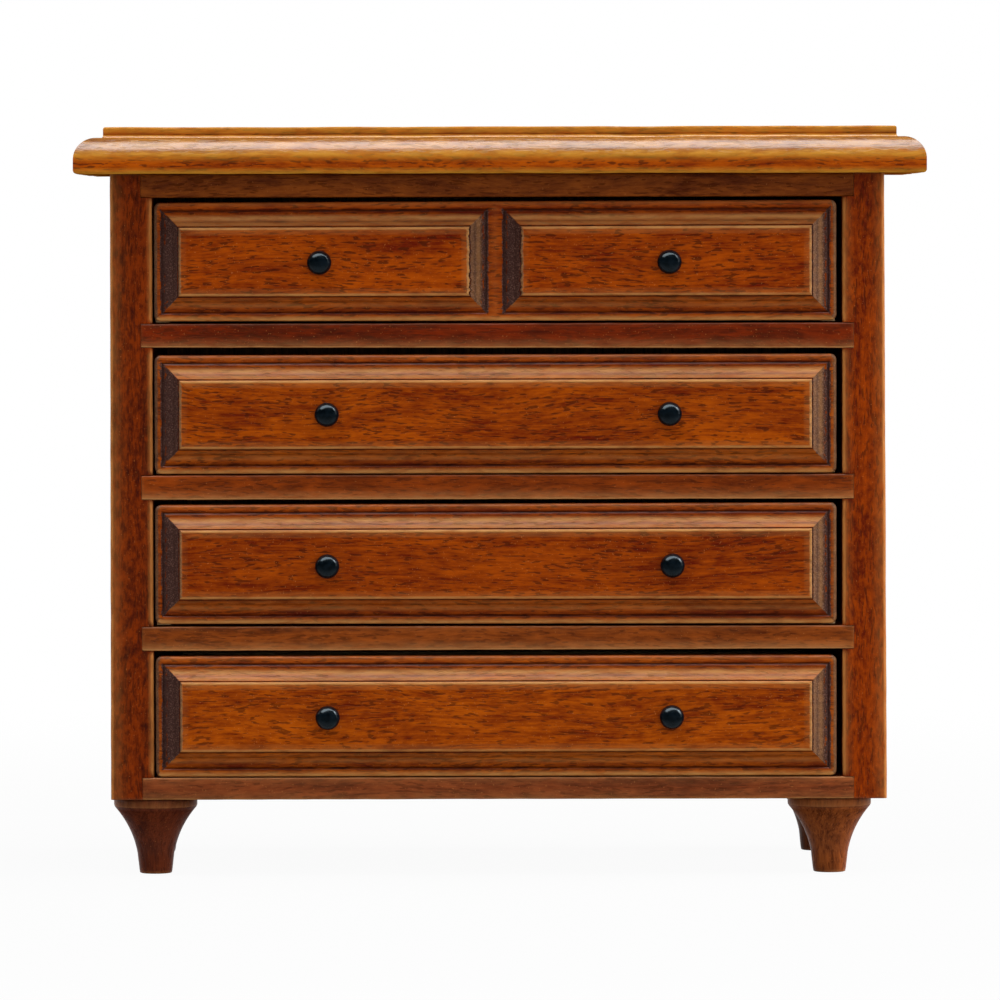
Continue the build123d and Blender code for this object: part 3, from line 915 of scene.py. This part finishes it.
def build_foot(node, material, seed):
    """A turned foot: a rounded ring, a hollow flare and a tapering neck."""
    low, high = box_mm(node)
    case_low, _ = box_mm("side_panel_left")
    ring_radius = (high[0] - low[0]) / 2
    ring_top = case_low[2]
    profile = [
        (FOOT_TIP_RADIUS - 0.5, 0, 0, 0.2),
        (FOOT_TIP_RADIUS - 0.15, 0, 0.3, 0),
        (FOOT_TIP_RADIUS - 0.03, 0.05, 0.8, 0),
        (FOOT_TIP_RADIUS, 0.18, 0.5, 0),
    ]
    for k in range(1, 6):
        share = k / 6
        radius = FOOT_TIP_RADIUS + (FOOT_NECK_RADIUS - FOOT_TIP_RADIUS) * share
        profile.append((radius, FOOT_NECK_HEIGHT * share, 0, 0))
    ring_foot = (ring_radius - 0.1, ring_top - FOOT_RING_HEIGHT - 0.06)
    for radius, place in arc((FOOT_NECK_RADIUS, FOOT_NECK_HEIGHT), ring_foot, FOOT_HOLLOW, 14):
        profile.append((radius, place, 0, 0))
    profile += [
        (ring_radius - 0.1, ring_top - FOOT_RING_HEIGHT, 0.2, 0.5),
        (ring_radius - 0.03, ring_top - FOOT_RING_HEIGHT + 0.08, 0.8, 0),
        (ring_radius, ring_top - FOOT_RING_HEIGHT + 0.25, 0.6, 0),
        (ring_radius, ring_top - 0.3, 0.3, 0),
        # The darkening at the top of the ring, just under the case, is painted shadow
        (ring_radius - 0.06, ring_top - 0.07, 0.1, 0.3),
        (ring_radius - 0.2, ring_top, 0, 0.8),
        (ring_radius - 1.2, ring_top, 0, 0.5),
    ]
    centre = ((low[0] + high[0]) / 2, (low[1] + high[1]) / 2, low[2])
    shape = turned(profile, centre, "Z", FOOT_STEPS, 0.012, seed)
    shape.piece(node, material, "turned_wood", sharp=50)


def build_knob(drawer, side, material):
    """A small domed knob, with its neck on the field of the drawer front."""
    node = f"{drawer}_drawer_knob_{side}"
    low, high = box_mm(node)
    front_low, _ = box_mm(f"{drawer}_drawer_front")
    apex = front_low[1] - low[1]
    dome_foot = KNOB_NECK_LENGTH + 0.1
    profile = [
        (KNOB_NECK_RADIUS, -0.05, 0, 0),
        (KNOB_NECK_RADIUS, 0.04, 0, 0),
        (KNOB_RADIUS - 0.18, KNOB_NECK_LENGTH - 0.1, 0, 0),
        (KNOB_RADIUS - 0.03, KNOB_NECK_LENGTH, 0, 0),
        (KNOB_RADIUS, dome_foot, 0, 0),
    ]
    for k in range(1, 15):
        angle = math.radians(90 * k / 15)
        radius = KNOB_RADIUS * math.cos(angle) ** 0.85
        profile.append((radius, dome_foot + (apex - dome_foot) * math.sin(angle), 0, 0))
    profile.append((0.04, apex, 0, 0))
    centre = ((low[0] + high[0]) / 2, front_low[1], (low[2] + high[2]) / 2)
    shape = turned(profile, centre, "Y", KNOB_STEPS)
    shape.piece(node, material, "knob_black", sharp=60)


# ---------------------------------------------------------------- the chest

# Tones of rubbed wood; the fronts' tone is also laid on the coves and the field's edges as painted highlight
FRONT_WEAR_AND_HIGHLIGHT_TONE = srgb(187, 130, 71)
CASE_WORN = srgb(176, 112, 56)
BOARD_WORN = srgb(184, 128, 76)
TOP_WORN = srgb(196, 136, 44)
FOOT_WORN = srgb(142, 88, 48)


def dress_case():
    """The top, the sides, the boards between them, the back and the feet."""
    top = wood("top_wood", srgb(100, 24, 0), srgb(176, 79, 1), TOP_WORN, seed=1.3, pores=0.7, figure=1.3,
               ends=0.15, roughness=0.27, sheen=1.0, relief=0.25)
    build_top_board(top)
    sides = {
        "left": (srgb(52, 6, 0), srgb(130, 46, 1), 2.1, 1.1),
        "right": (srgb(76, 10, 0), srgb(152, 58, 0), 3.4, 1.0),
    }
    for side, (dark, light, seed, mottling) in sides.items():
        stained = wood(f"side_wood_{side}", dark, light, CASE_WORN, "Z", seed, figure=0.9, mottling=mottling,
                       curl=0.9, lines=0.1, ends=0.3)
        build_side_panel(side, stained, seed)
    boards = [
        ("top_rail", 4.2, srgb(80, 31, 7), srgb(142, 72, 20), (0.2, 0.2, 0.0, 0.0)),
        ("upper_divider", 5.1, srgb(60, 9, 0), srgb(120, 34, 0), (0.2, 0.2, 0.1, 1.0)),
        ("middle_divider", 6.3, srgb(80, 24, 0), srgb(142, 58, 5), (0.2, 0.2, 0.1, 1.4)),
        ("lower_divider", 7.7, srgb(82, 28, 2), srgb(146, 69, 16), (0.2, 0.2, 0.2, 1.3)),
        ("bottom_board", 8.9, srgb(74, 24, 8), srgb(140, 67, 30), (0.2, 0.2, 0.5, 0.6)),
    ]
    for node, seed, dark, light, wear in boards:
        stained = wood(f"{node}_wood", dark, light, BOARD_WORN, "X", seed, 0.35, mottling=0.8, ends=0.0)
        build_board(node, "X", stained, "case_wood", seed=seed, wear=wear)
    plain = wood("back_wood", srgb(104, 62, 30), srgb(150, 98, 52), srgb(176, 126, 76), "Z", 9.4, 0.2)
    build_board("back_panel", "Z", plain, "plain_wood", 0.12, 9.4)
    ends = {
        "left": (srgb(54, 18, 8), srgb(110, 48, 23), 10.2),
        "right": (srgb(78, 33, 10), srgb(150, 78, 32), 21.6),
    }
    for end, (dark, light, seed) in ends.items():
        turned_wood = wood(f"foot_wood_{end}", dark, light, FOOT_WORN, "Z", seed, 0.3, ends=0.1)
        for row in ("front", "rear"):
            build_foot(f"foot_{row}_{end}", turned_wood, len(row) + len(end) / 3)


def build_drawer_box(drawer, seed, along, across):
    """The two grooved sides, the back and the thin bottom of a drawer."""
    for side in ("left", "right"):
        node = f"{drawer}_drawer_side_{side}"
        low, high = box_mm(node)
        inner = (low[0] - SPARE, low[0] + GROOVE_DEPTH)
        if side == "left":
            inner = (high[0] - GROOVE_DEPTH, high[0] + SPARE)
        foot = low[2] + GROOVE_RISE
        groove = ((inner[0], low[1] - SPARE, foot), (inner[1], high[1] + SPARE, foot + GROOVE_HEIGHT))
        build_board(node, "Y", along, "drawer_wood", 0.12, seed, [[groove]], BOX_STEP, 0.02)
    build_board(f"{drawer}_drawer_back", "X", across, "drawer_wood", 0.12, seed, (), BOX_STEP, 0.02)
    build_board(f"{drawer}_drawer_bottom", "X", across, "drawer_wood", 0.08, seed, (), BOX_STEP, 0.01)


def dress_drawers():
    """The four drawers, each with its front, its box and its two knobs."""
    drawers = {
        "top": (srgb(92, 15, 0), srgb(168, 72, 0), 11.3, 0.7),
        "second": (srgb(90, 16, 0), srgb(170, 76, 1), 12.9, 0.65),
        "third": (srgb(86, 14, 0), srgb(162, 69, 1), 14.6, 0.6),
        "bottom": (srgb(94, 20, 0), srgb(178, 82, 2), 15.8, 0.5),
    }
    pale_along = bare_wood("drawer_wood_long", srgb(176, 138, 92), srgb(214, 180, 132), "Y", 16.2)
    pale_across = bare_wood("drawer_wood_wide", srgb(180, 142, 96), srgb(216, 184, 138), "X", 17.5)
    black = enamel()
    for drawer, (dark, light, seed, pores) in drawers.items():
        stained = wood(f"{drawer}_front_wood", dark, light, FRONT_WEAR_AND_HIGHLIGHT_TONE, "X", seed, pores, mottling=0.6,
                       curl=0.45, lines=0.45, sheen=0.26)
        build_front(drawer, stained, seed)
        build_drawer_box(drawer, seed, pale_along, pale_across)
        for side in ("left", "right"):
            build_knob(drawer, side, black)


# ---------------------------------------------------------------- floor, light and camera

FLOOR_RADIUS = 2200.0
WALL_RADIUS = 2450.0
WALL_TURN = 250.0
WALL_TOP = 320.0
BACKDROP_STEPS = 96


def build_backdrop():
    """A round pale floor that turns up into a low wall. Both look white to the camera.

    Near the chest, part of what the camera sees is the plain surface, with the chest's shadow.
    """
    profile = [(radius, 0.0) for radius in (40.0, 120.0, 400.0, 1200.0, FLOOR_RADIUS)]
    profile += arc((FLOOR_RADIUS, 0.0), (WALL_RADIUS, WALL_TURN), -73.0, 8)[1:]
    profile.append((WALL_RADIUS, WALL_TOP))
    angles = [2 * math.pi * i / BACKDROP_STEPS for i in range(BACKDROP_STEPS)]
    shape = Shape()
    rings = []
    for radius, place in profile:
        rings.append(shape.ring([(radius * math.cos(a), radius * math.sin(a), place) for a in angles]))
    shape.skin(rings)
    shape.cap(rings[0], flip=True)
    bmesh.ops.scale(shape.mesh, vec=(MM, MM, MM), verts=shape.mesh.verts)
    backdrop = add_object("backdrop", shape.mesh)
    backdrop.data.shade_smooth()

    n = Nodes("backdrop_white")
    path = n.add("ShaderNodeLightPath", {})
    seen = n.maths("MAXIMUM", path.outputs["Is Camera Ray"], path.outputs["Is Transmission Ray"])
    seen = n.maths("MAXIMUM", seen, path.outputs["Is Glossy Ray"])
    place = n.add("ShaderNodeTexCoord", {}).outputs["Object"]
    distance = n.add("ShaderNodeVectorMath", {0: place}, operation="LENGTH").outputs["Value"]
    share = n.maths("MULTIPLY", seen, n.ramp(distance, 0.08, 0.30, 0.95, 1.0))
    plain = n.add("ShaderNodeBsdfDiffuse", {"Color": (0.35, 0.35, 0.35, 1.0)}).outputs[0]
    white = n.add("ShaderNodeEmission", {"Color": (1.0, 1.0, 1.0, 1.0), "Strength": 1.0}).outputs[0]
    surface = n.add("ShaderNodeMixShader", {0: share, 1: plain, 2: white}).outputs[0]
    n.add("ShaderNodeOutputMaterial", {"Surface": surface})
    backdrop.data.materials.append(n.material)
    backdrop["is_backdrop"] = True


WORLD_LEVEL = 0.12


def build_world():
    """A dim even surround."""
    world = bpy.data.worlds.new("surround")
    bpy.context.scene.world = world
    world.use_nodes = True
    sky = world.node_tree.nodes["Background"]
    sky.inputs["Color"].default_value = (1.0, 1.0, 1.0, 1.0)
    sky.inputs["Strength"].default_value = WORLD_LEVEL


def lamp(name, place, target, size, power, spreads=True, mirrored=True):
    """A soft rectangular lamp at a place in metres, turned to a target.

    A lamp that spreads lights the surfaces, and one that is mirrored shows in the lacquer.
    """
    data = bpy.data.lights.new(name, "AREA")
    data.shape = "RECTANGLE"
    data.size, data.size_y = size
    data.energy = power
    made = bpy.data.objects.new(name, data)
    made.location = place
    made.rotation_euler = (Vector(target) - Vector(place)).to_track_quat("-Z", "Y").to_euler()
    made.visible_diffuse = spreads
    made.visible_glossy = mirrored
    bpy.context.scene.collection.objects.link(made)


def build_lights():
    """A long lamp overhead, with its gleam, one at each side, and a soft fill from the front."""
    middle = (cad_box[0] + cad_box[1]) / 2
    lamp("overhead", (0.04, -0.10, 0.66), middle, (1.45, 0.45), 7.0, mirrored=False)
    lamp("overhead_gleam", (0.04, -0.09, 0.60), middle, (1.45, 0.45), 9.5, spreads=False)
    lamp("right", (0.72, -0.02, 0.36), middle, (0.42, 0.66), 8.0)
    lamp("left", (-0.75, 0.10, 0.36), middle, (0.12, 0.60), 1.6)
    lamp("fill", (0.30, -0.95, 0.35), middle, (1.2, 0.9), 5.4, mirrored=False)


# The size of a pixel in the plane of the front and the heights are in mm, the distance from that
# plane and the place to the right of the middle in metres, and the roll in degrees
PIXEL = 0.1134
PICTURE_PIXELS = 1000
SENSOR_WIDTH = 36.0
CAMERA_DISTANCE = 0.850
CAMERA_RIGHT = 0.00033
CAMERA_HEIGHT = 73.9
PICTURE_MIDDLE = 42.7
CAMERA_ROLL = 0.13


def build_camera():
    """A long lens at the height of the top board, turned down to the middle of the chest."""
    front_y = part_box("side_panel_left")[0].y
    drop = CAMERA_HEIGHT - PICTURE_MIDDLE
    tilt = math.atan(drop * MM / CAMERA_DISTANCE)
    data = bpy.data.cameras.new("camera")
    data.sensor_width = SENSOR_WIDTH
    data.lens = SENSOR_WIDTH * CAMERA_DISTANCE / math.cos(tilt) / (PICTURE_PIXELS * PIXEL * MM)
    made = bpy.data.objects.new("camera", data)
    made.location = (CAMERA_RIGHT, front_y - CAMERA_DISTANCE, CAMERA_HEIGHT * MM)
    made.rotation_euler = (math.radians(90.0) - tilt, math.radians(CAMERA_ROLL), 0.0)
    bpy.context.scene.collection.objects.link(made)
    bpy.context.scene.camera = made


dress_case()
dress_drawers()
build_backdrop()
build_world()
build_lights()
build_camera()
bpy.context.scene.view_settings.view_transform = "Standard"

[[list(corner) for corner in box] for box in (cad_box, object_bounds())]
